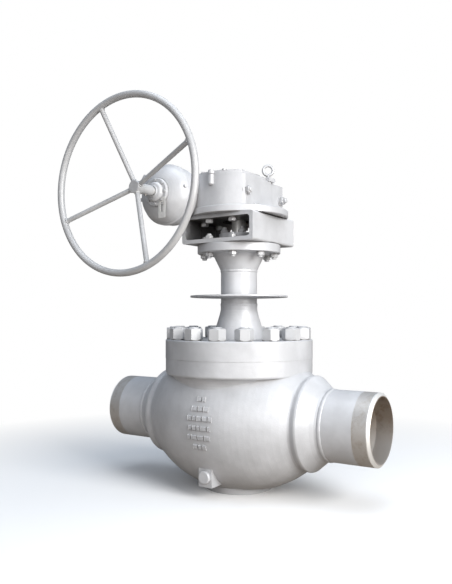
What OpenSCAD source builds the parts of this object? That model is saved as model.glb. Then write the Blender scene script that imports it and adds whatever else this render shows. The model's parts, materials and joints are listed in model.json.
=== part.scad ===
// Top-entry trunnion valve with butt-weld pups, an extended bonnet with a drip
// plate, and a quarter-turn worm gear operator with a planetary input stage.
// Origin: where the stem axis crosses the pipe axis. +X runs along the pipe,
// +Z up the stem, and the handwheel is on the -Y side. Shown fully open.

/* [Pipe run] */
// Outside diameter of the welded pipe pups
pipe_od = 273.1; // [260:1:280]
// Wall thickness of the pipe pups
pipe_wall = 15.1; // [12:0.1:17]
// Length over the two pipe ends
face_to_face = 1236; // [1200:1:1300]
// Length of each pup
pup_length = 193; // [150:1:200]

/* [Body] */
// Radius of the bowl at the middle of the valve, about the pipe axis
bowl_r = 300; // [290:1:306]
// Radius of the arc that shapes the bowl towards the pipe ends
bowl_arc_r = 506; // [490:1:540]
// Radius of the body neck that takes the bonnet
neck_r = 306.5; // [300:0.5:310]
// Height of the joint between body and bonnet above the pipe axis
joint_z = 245.5; // [240:0.5:250]
// Radius of the foot boss under the bowl
foot_r = 139; // [120:1:150]
// Depth of the foot boss face below the pipe axis
foot_z = 290; // [285:1:300]

/* [Ball and trunnions] */
// Radius of the ball
ball_r = 195; // [190:1:198]
// Radius of the trunnion journals
trunnion_r = 60; // [55:1:65]
// Radius of the stem
stem_r = 30; // [26:1:32]

/* [Bonnet] */
// Radius of the bonnet plate
bonnet_r = 307.5; // [300:0.5:310]
// Thickness of the bonnet plate
bonnet_t = 76.5; // [60:0.5:80]
// Number of bonnet studs
bonnet_studs_n = 16; // [12:1:18]
// Radius of the bonnet stud circle
bonnet_stud_pcr = 270; // [262:1:270]
// Radius of a bonnet stud
bonnet_stud_r = 21; // [16:1:22]
// Width across flats of the bonnet nuts
bonnet_nut_af = 65; // [50:1:68]

/* [Extension] */
// Radius of the extension tube
tube_r = 76; // [70:1:80]
// Radius of the drip plate
drip_r = 205; // [180:1:230]
// Height of the drip plate above the pipe axis
drip_z = 496; // [485:1:560]

/* [Top works] */
// Radius of the round actuator flange
top_flange_r = 175; // [170:1:180]
// Radius of the bolt circle on the actuator flange
flange_pcr = 149; // [145:0.5:152]
// Width of the square yoke box
yoke_w = 342; // [330:1:350]
// Height of the yoke box
yoke_h = 116; // [100:1:130]

/* [Gear operator] */
// Radius of the gear case drum
drum_r = 205; // [195:1:206]
// Module of the worm and the worm wheel
worm_module = 8; // [8:1:8]
// Teeth on a full worm wheel, of which a segment is cut
wheel_teeth = 40; // [40:1:40]
// Pitch radius of the worm
worm_pitch_r = 40; // [40:1:40]
// Module of the planetary gears
planet_module = 2.5; // [2.5:0.5:2.5]
// Teeth on the sun gear and on each planet gear
planet_teeth = 24; // [24:1:24]

/* [Handwheel] */
// Radius from the handwheel axis to the middle of the rim tube
rim_r = 336.5; // [300:0.5:345]
// Radius of the rim tube
rim_tube_r = 13.5; // [12:0.5:15]
// Turn of the first spoke from level
spoke_turn = 21; // [0:1:45]

/* [Hidden] */
$fn = 96;

paint = "#c9ccd2";
bright_steel = "#b9babb";
dark_steel = "#6f6a66";
bronze = "#b08d57";
polymer = "#3a3a3c";
graphite = "#454548";

// Clearances
run_fit = 0.05;      // radial gap of a shaft in its bush
free_gap = 0.3;      // gap between parts that pass close to each other

// Pipe run
bore_r = pipe_od / 2 - pipe_wall;
half_length = face_to_face / 2;
pup_x = half_length - pup_length;
hub_x = 337;         // where each side hub starts, along the pipe
hub_r_max = 186;     // largest radius of a side hub
weld_half = 6;       // half width of the weld bead at a pup
seat_x = 196;        // back of each seat ring
seat_pocket_x = 206; // bottom of each seat pocket
seat_front_x = 118;
seat_outer_r = 172;
seal_x = 180;        // start of the seal groove in each seat ring
seal_w = 10;
seal_depth = 7;
insert_inner_r = 134;
insert_outer_r = 146;
insert_back_x = 152;

// Body
cavity_r = ball_r + 27;
flat_z = 262;        // flat underside of the bowl round the foot boss
neck_edge_z = 188;   // lower edge of the full-width neck
neck_edge_r = 9;     // rounding of that edge
neck_root_r = 268;
neck_root_z = 137;
gasket_t = 3;
gasket_inner_r = 226;
gasket_outer_r = 242;
drain_y = 246;
drain_z = 203;
drain_plug_r = 25;
drain_r = 16;

// Ball and trunnions
trunnion_top_z = 236;
trunnion_low_z = 228;
bush_t = 10;
bush_h = 30;
spigot_z = 212;      // underside of the bonnet spigot
bush_top_z = 262;    // end of the upper bush pocket
tongue_w = 40;
tongue_z = 206;

// Bonnet and extension
bonnet_top_z = joint_z + bonnet_t;
bonnet_stud_turn = 14;  // direction of the first bonnet stud from +X
nut_h = 48;
stud_top_z = bonnet_top_z + nut_h + 5;
stud_low_z = 190;
cone_z = 465;
tube_top_z = 607;
drip_t = 7;
stem_bore_r = stem_r + 4;

// Top works
flange_low_z = 679;
flange_top_z = 715;
yoke_wall = 16;
window_corner_r = 13;
yoke_seam_x = yoke_w / 2 - yoke_wall - window_corner_r;
yoke_top_z = flange_top_z + yoke_h;
packing_r = 42;
packing_low_z = 640;
packing_top_z = 700;
gland_z = 745;
gland_t = 18;
gland_pcr = 62;
gland_r = 84;
m20_r = 10;
m20_af = 30;
m20_nut_h = 16;
m20_spot_r = 18.5;   // spot face round an M20 nut or head

// Gear operator
gear_low_z = yoke_top_z;
base_t = 27;
floor_z = gear_low_z + 25;
case_top_z = 980;
cover_t = 16;
cover_top_z = case_top_z + cover_t;
case_wall = 14;
flat_x = 120;        // flat side of the drum, away from the worm
pad_x = 130;         // raised pad on the flat side
pad_end_y = 50;      // end of that pad towards +Y
worm_x = -200;
worm_z = 915;
worm_case_r = 64;
worm_chamber_r = 52;
wheel_t = 44;
wheel_hub_r = 62;
wheel_journal_r = 55;
wheel_pitch_r = worm_module * wheel_teeth / 2;
wheel_tip_r = wheel_pitch_r + worm_module;
wheel_root_r = wheel_pitch_r - 1.2 * worm_module;
worm_lead = PI * worm_module;
worm_tip_r = worm_pitch_r + worm_module;
worm_root_r = worm_pitch_r - 1.2 * worm_module;
worm_half = 62;
worm_shaft_r = 22;
lead_angle = atan(worm_lead / (2 * PI * worm_pitch_r));
quadrant_half = 57;  // half angle of the toothed segment
quadrant_mid = 225;  // direction of the segment's middle when open
stop_y = 145;
stop_tip_x = 31.7;
stop_end_x = 152;
stop_boss_x = flat_x + 4;
worm_back_y = 150;   // back end of the worm case
cover_screw_angles = [75, 105, 135, 165, 195, 225, 255, 285];
cover_screw_r = 5;
cover_screw_pcr = drum_r - 8;
end_screw_pcr = worm_case_r - 6;
end_screw_r = 4;
key_w = 18;
key_h = 90;
key_low_z = gear_low_z + 30;
key_seat_x = stem_r - 7;

// Lifting eye on the cover
eye_x = 112;
eye_y = 54;
eye_turn = 33;
eye_ring_r = 20.5;
eye_bar_r = 6;

// Planetary input stage, measured along -Y from the stem axis
case_end_y = 178;
reducer_r = 121;
reducer_seam_y = 236;
dome_end_y = 300;
dome_reach = 74;
ring_outer_r = 112;
planet_orbit_r = planet_module * planet_teeth;
ring_teeth = 3 * planet_teeth;
gear_low_y = 207;
gear_high_y = 229;
carrier_y = 195;
carrier_t = 8;
pin_r = 9;
shaft_r = 16;
cap_r = 57;
cap_t = 12;
cap_screw_pcr = 47;
cap_screw_r = 4;
boss_r = 25;
boss_root_r = 41;
boss_end_y = 332;
lug_angle = 145;     // direction of the lug on the reducer, from +X towards +Z
lug_w = 24;
lug_end_r = 155;
seam_bolt_angles = [107, 183];
seam_bolt_pcr = 131;
lobe_t = 4.5;        // thickness of a seam lobe on the cover
vent_angle = 10;
tag_angle = -45;     // direction of the cap screw that holds the tag
tag_t = 1.5;

// Handwheel
rim_y = 500;
hub_front_y = 442;
hub_r = 25;
sleeve_r = 21;
sleeve_end_y = 345;
spoke_r = 9.5;

// ---- shared shapes ----

// Places children on a circle about Z
module ring_of(n, r, start = 0) {
    for (i = [0:n - 1])
        rotate([0, 0, start + i * 360 / n])
            translate([r, 0, 0])
                children();
}

// Turns +Z to +X
module along_x() {
    rotate([0, 90, 0]) children();
}

// Turns +Z to -Y, on the worm axis
module on_worm_axis() {
    translate([worm_x, 0, worm_z])
        rotate([90, 0, 0])
            children();
}

// A round plate with a hole, from z = low to z = high
module washer(r_out, r_in, low, high) {
    translate([0, 0, low])
        difference() {
            cylinder(r = r_out, h = high - low);
            translate([0, 0, -1]) cylinder(r = r_in, h = high - low + 2);
        }
}

// A hexagon prism with both ends chamfered
module hexagon(af, h) {
    corner_r = af / sqrt(3);
    c = 0.09 * af;
    intersection() {
        cylinder(r = corner_r, h = h, $fn = 6);
        rotate_extrude()
            polygon([[0, 0], [af / 2 - 0.02 * af, 0], [corner_r, c], [corner_r, h - c],
                     [af / 2 - 0.02 * af, h], [0, h]]);
    }
}

// A chamfered hexagon nut on a thread of radius r
module hex_nut(af, h, r) {
    difference() {
        hexagon(af, h);
        translate([0, 0, -1]) cylinder(r = r, h = h + 2);
    }
}

// A stud with chamfered ends
module stud(r, low, high) {
    c = 0.15 * r;
    translate([0, 0, low])
        rotate_extrude()
            polygon([[0, 0], [r - c, 0], [r, c], [r, high - low - c], [r - c, high - low],
                     [0, high - low]]);
}

// A hexagon screw standing on z = 0, with its shank downwards
module hex_screw(r, af, head, length) {
    union() {
        hexagon(af, head);
        translate([0, 0, -length]) cylinder(r = r, h = length + 0.5 * head);
    }
}

// Outline of a spur gear; share is the part of the pitch that a tooth takes
module gear_outline(teeth, m, share = 0.42) {
    pitch_r = m * teeth / 2;
    root_r = pitch_r - 1.15 * m;
    tip_r = pitch_r + 0.9 * m;
    half = share * 180 / teeth;
    spread = atan(m * tan(20) / pitch_r);
    polygon([
        for (i = [0:teeth - 1])
            for (p = [[root_r, -half - spread * 1.1], [pitch_r, -half], [tip_r, -half + spread],
                      [tip_r, half - spread], [pitch_r, half], [root_r, half + spread * 1.1]])
                let (a = i * 360 / teeth + p[1])
                    [p[0] * cos(a), p[0] * sin(a)]
    ]);
}

// ---- body and pipe run ----

// Radius of the bowl at distance x from the stem axis
function bowl_at(x) = bowl_r - bowl_arc_r + sqrt(pow(bowl_arc_r, 2) - x * x);

// Outline of the bowl and its side hubs, as [distance from the pipe axis, x]
module bowl_profile() {
    steps = 14;
    arc_x = hub_x - 15;
    bowl = [for (i = [-steps:steps]) let (x = i * arc_x / steps) [bowl_at(x), x]];
    hub = [[181.5, hub_x - 8], [182.5, hub_x - 1], [hub_r_max - 1, hub_x + 6], [hub_r_max, hub_x + 12],
           [hub_r_max - 1.5, hub_x + 19], [168, hub_x + 38], [150.5, hub_x + 58], [140.5, hub_x + 72],
           [pipe_od / 2 + 1, pup_x - weld_half - 2], [pipe_od / 2, pup_x - weld_half - 0.1],
           [pipe_od / 2, pup_x]];
    hub_back = [for (i = [len(hub) - 1:-1:0]) [hub[i][0], -hub[i][1]]];
    polygon(concat([[0, -pup_x]], hub_back, bowl, hub, [[0, pup_x]]));
}

// Neck under the bonnet: a cove, a rounded edge and a straight rim
module neck() {
    cove_r = neck_r - neck_edge_r - neck_root_r;
    cove_z = neck_edge_z - neck_edge_r - neck_root_z;
    cove = [for (a = [0:15:90]) [neck_root_r + cove_r * (1 - cos(a)), neck_root_z + cove_z * sin(a)]];
    edge = [for (a = [15:15:90]) [neck_r - neck_edge_r * (1 - sin(a)), neck_edge_z - neck_edge_r * cos(a)]];
    rotate_extrude()
        polygon(concat([[0, 0], [neck_root_r - 40, 0]], cove, edge, [[neck_r, joint_z], [0, joint_z]]));
}

module body_outside() {
    difference() {
        along_x() rotate_extrude() bowl_profile();
        // the bowl stops at the bonnet joint and is flat round the foot
        translate([0, 0, joint_z]) cylinder(r = 2 * bowl_r, h = 100);
        translate([0, 0, -flat_z - 100]) cylinder(r = 2 * bowl_r, h = 100);
    }
    neck();
    translate([0, 0, -foot_z]) cylinder(r = foot_r, h = foot_z - flat_z + 40);
    // drain pad
    translate([-31, -drain_y, -drain_z - 39]) cube([62, 120, 76]);
}

module valve_body() {
    color(paint)
        difference() {
            body_outside();
            // ball chamber, open to the top
            sphere(r = cavity_r);
            cylinder(r = cavity_r, h = joint_z + 1);
            // pipe bore and seat pockets
            translate([-pup_x - 1, 0, 0]) along_x() cylinder(r = bore_r, h = 2 * pup_x + 2);
            translate([-seat_pocket_x, 0, 0])
                along_x() cylinder(r = seat_outer_r + free_gap, h = 2 * seat_pocket_x);
            // lower trunnion pocket
            translate([0, 0, -trunnion_low_z - 6]) cylinder(r = trunnion_r + bush_t, h = 120);
            // gasket recess
            translate([0, 0, joint_z - gasket_t]) washer(gasket_outer_r, gasket_inner_r, 0, gasket_t + 1);
            // tapped stud holes
            ring_of(bonnet_studs_n, bonnet_stud_pcr, bonnet_stud_turn)
                translate([0, 0, stud_low_z]) cylinder(r = bonnet_stud_r, h = 100);
            // drain passage
            translate([0, -drain_y - 1, -drain_z]) rotate([-90, 0, 0]) cylinder(r = drain_r, h = 175);
        }
}

module pup() {
    bevel = 0.6 * pipe_wall;
    color(paint)
        translate([pup_x, 0, 0])
            along_x()
                rotate_extrude()
                    polygon([[bore_r, 0], [pipe_od / 2, 0], [pipe_od / 2, pup_length - bevel],
                             [bore_r + 2.5, pup_length], [bore_r, pup_length]]);
}

module inlet_pup() {
    mirror([1, 0, 0]) pup();
}

module outlet_pup() {
    pup();
}

// A weld bead standing proud of the pipe at each pup
module pup_welds() {
    color(paint)
        for (side = [-1, 1])
            translate([side * pup_x, 0, 0])
                along_x()
                    rotate_extrude()
                        polygon([[pipe_od / 2, -weld_half], [pipe_od / 2 + 2, -3.5], [pipe_od / 2 + 2.6, 0],
                                 [pipe_od / 2 + 2, 3.5], [pipe_od / 2, weld_half]]);
}

module drain_plug() {
    color(paint)
        translate([0, -drain_y, -drain_z])
            rotate([90, 0, 0])
                rotate_extrude()
                    polygon([[0, -34], [drain_r, -34], [drain_r, 0], [drain_plug_r, 0], [drain_plug_r, 9],
                             [drain_plug_r - 3, 12], [0, 12]]);
}

// ---- seats ----

// Ring turned about the pipe axis: a hollow face round the ball, a groove for the soft insert, and
// a groove for the seal at the back
module seat_ring() {
    front_r = sqrt(pow(ball_r + free_gap, 2) - pow(seat_front_x, 2));
    steps = 4;
    inner_face = [for (i = [0:steps]) let (r = bore_r + (insert_inner_r - bore_r) * i / steps)
        [r, ball_surface_x(r, free_gap)]];
    outer_face = [for (i = [0:steps]) let (r = insert_outer_r + (front_r - insert_outer_r) * i / steps)
        [r, ball_surface_x(r, free_gap)]];
    groove_r = seat_outer_r - seal_depth;
    color(bright_steel)
        along_x()
            rotate_extrude()
                polygon(concat(
                    inner_face,
                    [[insert_inner_r, insert_back_x], [insert_outer_r, insert_back_x]],
                    outer_face,
                    [[seat_outer_r, seat_front_x], [seat_outer_r, seal_x], [groove_r, seal_x],
                     [groove_r, seal_x + seal_w], [seat_outer_r, seal_x + seal_w],
                     [seat_outer_r, seat_x], [bore_r, seat_x]]));
}

module seat_rings() {
    for (side = [0, 1])
        mirror([side, 0, 0]) seat_ring();
}

// Soft rings held in the seats; the face towards the ball is a shallow cone just clear of it
module seat_inserts() {
    near_inner = ball_surface_x(insert_inner_r, 2 * free_gap);
    near_outer = ball_surface_x(insert_outer_r, 2 * free_gap);
    color(polymer)
        for (side = [0, 1])
            mirror([side, 0, 0])
                along_x()
                    rotate_extrude()
                        polygon([[insert_inner_r, near_inner], [insert_outer_r, near_outer],
                                 [insert_outer_r, insert_back_x], [insert_inner_r, insert_back_x]]);
}

// Distance from the stem axis to a surface that clears the ball by a gap, at radius r from the pipe axis
function ball_surface_x(r, gap) = sqrt(pow(ball_r + gap, 2) - r * r);

module seat_springs() {
    color(bright_steel)
        for (side = [0, 1])
            mirror([side, 0, 0])
                translate([seat_x, 0, 0]) along_x() washer(166, 150, 0, seat_pocket_x - seat_x);
}

module seat_seals() {
    color(polymer)
        for (side = [0, 1])
            mirror([side, 0, 0])
                translate([seal_x, 0, 0])
                    along_x() washer(seat_outer_r, seat_outer_r - seal_depth, 0, seal_w);
}

// ---- ball, trunnions and stem ----

module trunnion_bushes() {
    color(bronze) {
        washer(trunnion_r + bush_t, trunnion_r + run_fit, -trunnion_low_z, -trunnion_low_z + bush_h);
        washer(trunnion_r + bush_t, trunnion_r + run_fit, spigot_z + 4, spigot_z + 4 + bush_h);
    }
}

module thrust_washer() {
    color(bronze)
        washer(trunnion_r + bush_t - 1, 25, -trunnion_low_z - 6, -trunnion_low_z - free_gap);
}

module ball() {
    color(bright_steel)
        difference() {
            union() {
                sphere(r = ball_r);
                translate([0, 0, -trunnion_low_z]) cylinder(r = trunnion_r, h = 100);
                translate([0, 0, 120]) cylinder(r = trunnion_r, h = trunnion_top_z - 120);
            }
            translate([-ball_r - 1, 0, 0]) along_x() cylinder(r = bore_r, h = 2 * ball_r + 2);
            translate([-trunnion_r - 1, -tongue_w / 2, tongue_z]) cube([2 * trunnion_r + 2, tongue_w, 60]);
        }
}

module stem() {
    color(bright_steel) {
        difference() {
            union() {
                translate([0, 0, trunnion_top_z]) cylinder(r = stem_r, h = cover_top_z + 2 - trunnion_top_z);
                // tongue that drives the ball
                intersection() {
                    translate([-stem_r - 20, -tongue_w / 2, tongue_z])
                        cube([2 * stem_r + 40, tongue_w, trunnion_top_z - tongue_z]);
                    cylinder(r = trunnion_r - 4, h = 400);
                }
            }
            translate([key_seat_x, -key_w / 2, key_low_z]) cube([20, key_w, key_h]);
        }
    }
}

// ---- bonnet ----

module bonnet_gasket() {
    color(graphite)
        washer(gasket_outer_r, gasket_inner_r, joint_z - gasket_t, joint_z);
}

module bonnet() {
    c = 4;
    color(paint)
        difference() {
            rotate_extrude()
                polygon([[0, spigot_z], [cavity_r - free_gap, spigot_z], [cavity_r - free_gap, joint_z],
                         [bonnet_r, joint_z], [bonnet_r, bonnet_top_z - c], [bonnet_r - c, bonnet_top_z],
                         [118, bonnet_top_z], [97, bonnet_top_z + 50], [83, 418], [tube_r + 1, 443],
                         [tube_r + 1, cone_z - 3], [tube_r, cone_z], [0, cone_z]]);
            translate([0, 0, spigot_z - 1]) cylinder(r = trunnion_r + bush_t, h = bush_top_z - spigot_z + 1);
            cylinder(r = stem_bore_r, h = cone_z + 1);
            translate([0, 0, 330]) cylinder(r = 38, h = 60);
            ring_of(bonnet_studs_n, bonnet_stud_pcr, bonnet_stud_turn)
                translate([0, 0, joint_z - 1]) cylinder(r = bonnet_stud_r + 1, h = bonnet_t + 2);
        }
}

module bonnet_studs() {
    color(paint)
        ring_of(bonnet_studs_n, bonnet_stud_pcr, bonnet_stud_turn)
            stud(bonnet_stud_r, stud_low_z, stud_top_z);
}

module bonnet_nuts() {
    color(paint)
        ring_of(bonnet_studs_n, bonnet_stud_pcr, bonnet_stud_turn)
            translate([0, 0, bonnet_top_z]) rotate([0, 0, 30]) hex_nut(bonnet_nut_af, nut_h, bonnet_stud_r);
}

module extension_tube() {
    color(paint)
        washer(tube_r, stem_bore_r, cone_z, tube_top_z);
}

module drip_plate() {
    color(paint)
        translate([0, 0, drip_z])
            rotate_extrude()
                polygon([[tube_r, -6], [tube_r + 6, 0], [drip_r - 1, 0], [drip_r, 1], [drip_r, drip_t - 1],
                         [drip_r - 1, drip_t], [tube_r + 6, drip_t], [tube_r, drip_t + 6]]);
}

module stem_guide_bush() {
    color(bronze)
        washer(38, stem_r + run_fit, 330, 390);
}

// ---- top works ----

module top_flange() {
    c = 2.5;
    color(paint)
        difference() {
            rotate_extrude()
                polygon([[stem_bore_r, tube_top_z], [tube_r, tube_top_z], [104, 665], [112, 674],
                         [120, flange_low_z], [top_flange_r - c, flange_low_z],
                         [top_flange_r, flange_low_z + c], [top_flange_r, flange_top_z - c],
                         [top_flange_r - c, flange_top_z],
                         [packing_r, flange_top_z], [packing_r, packing_low_z], [stem_bore_r, packing_low_z]]);
            ring_of(8, flange_pcr, 22.5)
                translate([0, 0, flange_low_z - 20]) cylinder(r = m20_r + 1, h = 80);
            ring_of(4, gland_pcr, 45)
                translate([0, 0, flange_top_z - 30]) cylinder(r = m20_r, h = 40);
        }
}

module packing_rings() {
    ring_h = 10;
    color(graphite)
        for (z = [packing_low_z:ring_h:packing_top_z - ring_h])
            washer(packing_r, stem_r + run_fit, z, z + ring_h - 0.2);
}

module gland_bush() {
    color(bright_steel) {
        washer(packing_r - 0.2, stem_r + 0.6, packing_top_z, gland_z);
        washer(packing_r + 6, stem_r + 0.6, flange_top_z + 16, gland_z);
    }
}

module gland_flange() {
    color(paint)
        difference() {
            translate([0, 0, gland_z]) cylinder(r = gland_r, h = gland_t);
            translate([0, 0, gland_z - 1]) cylinder(r = stem_r + 2, h = gland_t + 2);
            ring_of(4, gland_pcr, 45)
                translate([0, 0, gland_z - 1]) cylinder(r = m20_r + 1, h = gland_t + 2);
        }
}

module gland_studs() {
    color(bright_steel)
        ring_of(4, gland_pcr, 45)
            stud(m20_r, flange_top_z - 28, gland_z + gland_t + m20_nut_h + 12);
}

module gland_nuts() {
    color(bright_steel)
        ring_of(4, gland_pcr, 45)
            translate([0, 0, gland_z + gland_t]) hex_nut(m20_af, m20_nut_h, m20_r);
}

// Floor and roof plates of the yoke box
module yoke_plates() {
    color(paint)
        difference() {
            for (low_z = [flange_top_z, yoke_top_z - yoke_wall])
                translate([-yoke_seam_x, -yoke_w / 2, low_z])
                    cube([2 * yoke_seam_x, yoke_w, yoke_wall]);
            // gland clearance below, stem clearance above
            translate([0, 0, flange_top_z - 1]) cylinder(r = gland_r + 8, h = yoke_wall + 2);
            translate([0, 0, yoke_top_z - yoke_wall - 1]) cylinder(r = 70, h = yoke_wall + 2);
            yoke_holes();
        }
}

// Points of an arc about a middle, from one angle to another
function arc_points(middle, r, from, to) =
    [for (i = [0:6]) let (a = from + (to - from) * i / 6) middle + r * [cos(a), sin(a)]];

// Side channels of the yoke box, welded to the plates, with rounded edges inside and out
module yoke_sides() {
    edge_r = 9;
    edge_x = yoke_w / 2 - edge_r;
    edge_z = yoke_h / 2 - edge_r;
    inside_z = yoke_h / 2 - yoke_wall;
    corner_z = inside_z - window_corner_r;
    outline = concat(
        [[yoke_seam_x, -yoke_h / 2]],
        arc_points([edge_x, -edge_z], edge_r, -90, 0),
        arc_points([edge_x, edge_z], edge_r, 0, 90),
        [[yoke_seam_x, yoke_h / 2]],
        arc_points([yoke_seam_x, corner_z], window_corner_r, 90, 0),
        arc_points([yoke_seam_x, -corner_z], window_corner_r, 0, -90));
    color(paint)
        for (side = [0, 1])
            mirror([side, 0, 0])
                difference() {
                    translate([0, yoke_w / 2, (flange_top_z + yoke_top_z) / 2])
                        rotate([90, 0, 0]) linear_extrude(yoke_w) polygon(outline);
                    yoke_holes();
                }
}

// Bolt holes, and spot faces where a nut or head would meet the rounded corner
module yoke_holes() {
    ring_of(8, flange_pcr, 22.5) {
        translate([0, 0, flange_top_z - 1]) cylinder(r = m20_r + 1, h = yoke_h + 2);
        translate([0, 0, flange_top_z + yoke_wall])
            cylinder(r = m20_spot_r, h = yoke_h - 2 * yoke_wall);
    }
}

module yoke_studs() {
    color(bright_steel)
        ring_of(8, flange_pcr, 22.5)
            stud(m20_r, flange_low_z - m20_nut_h - 8, flange_top_z + yoke_wall + m20_nut_h + 8);
}

module yoke_nuts() {
    color(bright_steel)
        ring_of(8, flange_pcr, 22.5) {
            translate([0, 0, flange_low_z - m20_nut_h]) hex_nut(m20_af, m20_nut_h, m20_r);
            translate([0, 0, flange_top_z + yoke_wall]) hex_nut(m20_af, m20_nut_h, m20_r);
        }
}

module gearbox_bolts() {
    color(bright_steel)
        ring_of(8, flange_pcr, 22.5)
            translate([0, 0, yoke_top_z - yoke_wall]) mirror([0, 0, 1]) hex_screw(m20_r, m20_af, 16, 38);
}

// ---- gear case ----

// D-shaped outline: a circle with its +X side cut flat
module drum_outline(r, x) {
    intersection() {
        circle(r = r);
        translate([-2 * r, -2 * r]) square([2 * r + x, 4 * r]);
    }
}

// Screw bosses on the outside of the drum, front and back
module case_bosses(r, low, high) {
    for (a = [90, 270])
        rotate([0, 0, a])
            translate([drum_r + 2, 0, 0])
                rotate_extrude()
                    polygon([[0, low], [r - 4, low], [r, low + 5], [r, high], [0, high]]);
}

module gearbox_housing() {
    base_r = drum_r + 3;
    wall_h = case_top_z - gear_low_z - 1;
    color(paint)
        difference() {
            union() {
                translate([0, 0, gear_low_z])
                    rotate_extrude()
                        polygon([[0, 0], [base_r - 2, 0], [base_r, 2], [base_r, base_t - 3],
                                 [base_r - 3, base_t], [0, base_t]]);
                translate([0, 0, gear_low_z + 1])
                    linear_extrude(wall_h) drum_outline(drum_r, flat_x);
                // raised pad on the flat side
                translate([0, 0, gear_low_z + 1])
                    linear_extrude(wall_h)
                        intersection() {
                            circle(r = drum_r);
                            translate([0, -drum_r]) square([pad_x, drum_r + pad_end_y]);
                        }
                case_bosses(12, 938, case_top_z);
                // worm case across the drum
                on_worm_axis()
                    translate([0, 0, -worm_back_y]) cylinder(r = worm_case_r, h = worm_back_y + case_end_y);
                // stop bolt bosses on the flat side
                for (s = [-1, 1])
                    translate([flat_x - 20, s * stop_y, worm_z])
                        along_x() cylinder(r = 21, h = stop_boss_x - flat_x + 20);
            }
            gear_chamber();
            // seats for the reducer and for the worm end cap, milled into the side of the drum
            on_worm_axis() {
                translate([0, 0, case_end_y]) cylinder(r = reducer_r + 1, h = 60);
                translate([0, 0, -worm_back_y - 60]) cylinder(r = worm_case_r + 1, h = 60);
            }
            case_holes();
        }
}

module gear_chamber() {
    translate([0, 0, floor_z]) linear_extrude(case_top_z) drum_outline(drum_r - case_wall, flat_x - case_wall);
    on_worm_axis()
        translate([0, 0, -worm_back_y - 1]) cylinder(r = worm_chamber_r, h = worm_back_y + case_end_y + 2);
    // lower journal bush, on a ledge
    translate([0, 0, gear_low_z - 1]) cylinder(r = wheel_journal_r - 4, h = 60);
    translate([0, 0, gear_low_z + 3]) cylinder(r = wheel_journal_r + bush_t, h = 60);
}

// Tapped holes for the bolts to the yoke, the cover, the stops and the worm end cap
module case_holes() {
    ring_of(8, flange_pcr, 22.5)
        translate([0, 0, gear_low_z - 1]) cylinder(r = m20_r, h = 24);
    for (a = cover_screw_angles)
        rotate([0, 0, a]) translate([cover_screw_pcr, 0, case_top_z - 13]) cylinder(r = cover_screw_r, h = 40);
    for (s = [-1, 1])
        translate([0, s * stop_y, worm_z]) along_x() cylinder(r = m20_r, h = 200);
    on_worm_axis()
        ring_of(4, end_screw_pcr, 45)
            translate([0, 0, -worm_back_y - 1]) cylinder(r = end_screw_r, h = 22);
}

module gearbox_cover() {
    c = 3;
    lug_r = 15;
    color(paint)
        difference() {
            union() {
                translate([0, 0, case_top_z]) linear_extrude(cover_t - c) drum_outline(drum_r - 1, flat_x - 2);
                translate([0, 0, cover_top_z - c]) linear_extrude(c) drum_outline(drum_r - 5, flat_x - 5);
                case_bosses(12, case_top_z, cover_top_z + 2);
                // boss for the upper journal bush
                translate([0, 0, case_top_z - 18]) cylinder(r = 80, h = 20);
                // lug under the lifting eye
                translate([eye_x - 30, eye_y - 32, case_top_z]) cube([54, 50, cover_t]);
            }
            // the corner beside the lifting eye is cut away
            translate([60, eye_y + 18, case_top_z - 1]) cube([100, 160, cover_t + 2]);
            translate([0, 0, case_top_z - 19]) cylinder(r = wheel_journal_r + bush_t, h = 18);
            translate([0, 0, case_top_z - 30]) cylinder(r = stem_r + 1, h = 80);
            // screw holes with spot faces
            for (a = cover_screw_angles)
                rotate([0, 0, a]) translate([cover_screw_pcr, 0, 0]) {
                    translate([0, 0, case_top_z - 1]) cylinder(r = cover_screw_r + 0.5, h = 40);
                    translate([0, 0, cover_top_z - c]) cylinder(r = 10.5, h = 40);
                }
            translate([eye_x, eye_y, case_top_z - 1]) cylinder(r = eye_bar_r, h = 40);
        }
}

module gearbox_screws() {
    color(bright_steel) {
        for (a = cover_screw_angles)
            rotate([0, 0, a])
                translate([cover_screw_pcr, 0, cover_top_z - 3]) hex_screw(cover_screw_r, 16, 7, 25);
        // worm end cap screws
        on_worm_axis()
            ring_of(4, end_screw_pcr, 45)
                translate([0, 0, -worm_back_y - 12]) mirror([0, 0, 1]) hex_screw(end_screw_r, 13, 5.5, 30);
    }
}

module eye_bolt() {
    color(bright_steel)
        translate([eye_x, eye_y, cover_top_z])
            rotate([0, 0, eye_turn]) {
                translate([0, 0, -cover_t]) cylinder(r = eye_bar_r, h = cover_t + 2);
                rotate_extrude() polygon([[0, 0], [14, 0], [14, 4], [8, 8], [6, 15], [0, 15]]);
                translate([0, 0, eye_ring_r + eye_bar_r + 9.5])
                    rotate([90, 0, 0])
                        rotate_extrude() translate([eye_ring_r, 0]) circle(r = eye_bar_r, $fn = 32);
            }
}

module stop_bolts() {
    color(bright_steel)
        for (s = [-1, 1])
            translate([stop_tip_x, s * stop_y, worm_z])
                along_x()
                    rotate_extrude()
                        polygon([[0, 0], [m20_r - 3, 0], [m20_r, 3], [m20_r, stop_end_x - stop_tip_x - 2],
                                 [m20_r - 2, stop_end_x - stop_tip_x], [0, stop_end_x - stop_tip_x]]);
}

module stop_nuts() {
    color(bright_steel)
        for (s = [-1, 1])
            translate([s < 0 ? pad_x : stop_boss_x, s * stop_y, worm_z])
                along_x() hex_nut(m20_af, m20_nut_h, m20_r);
}

module quadrant_bushes() {
    color(bronze) {
        washer(wheel_journal_r + bush_t, wheel_journal_r + run_fit, gear_low_z + 3, floor_z - 4.5);
        washer(wheel_journal_r + bush_t, wheel_journal_r + run_fit, case_top_z - 18, case_top_z - 1);
    }
}

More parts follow.
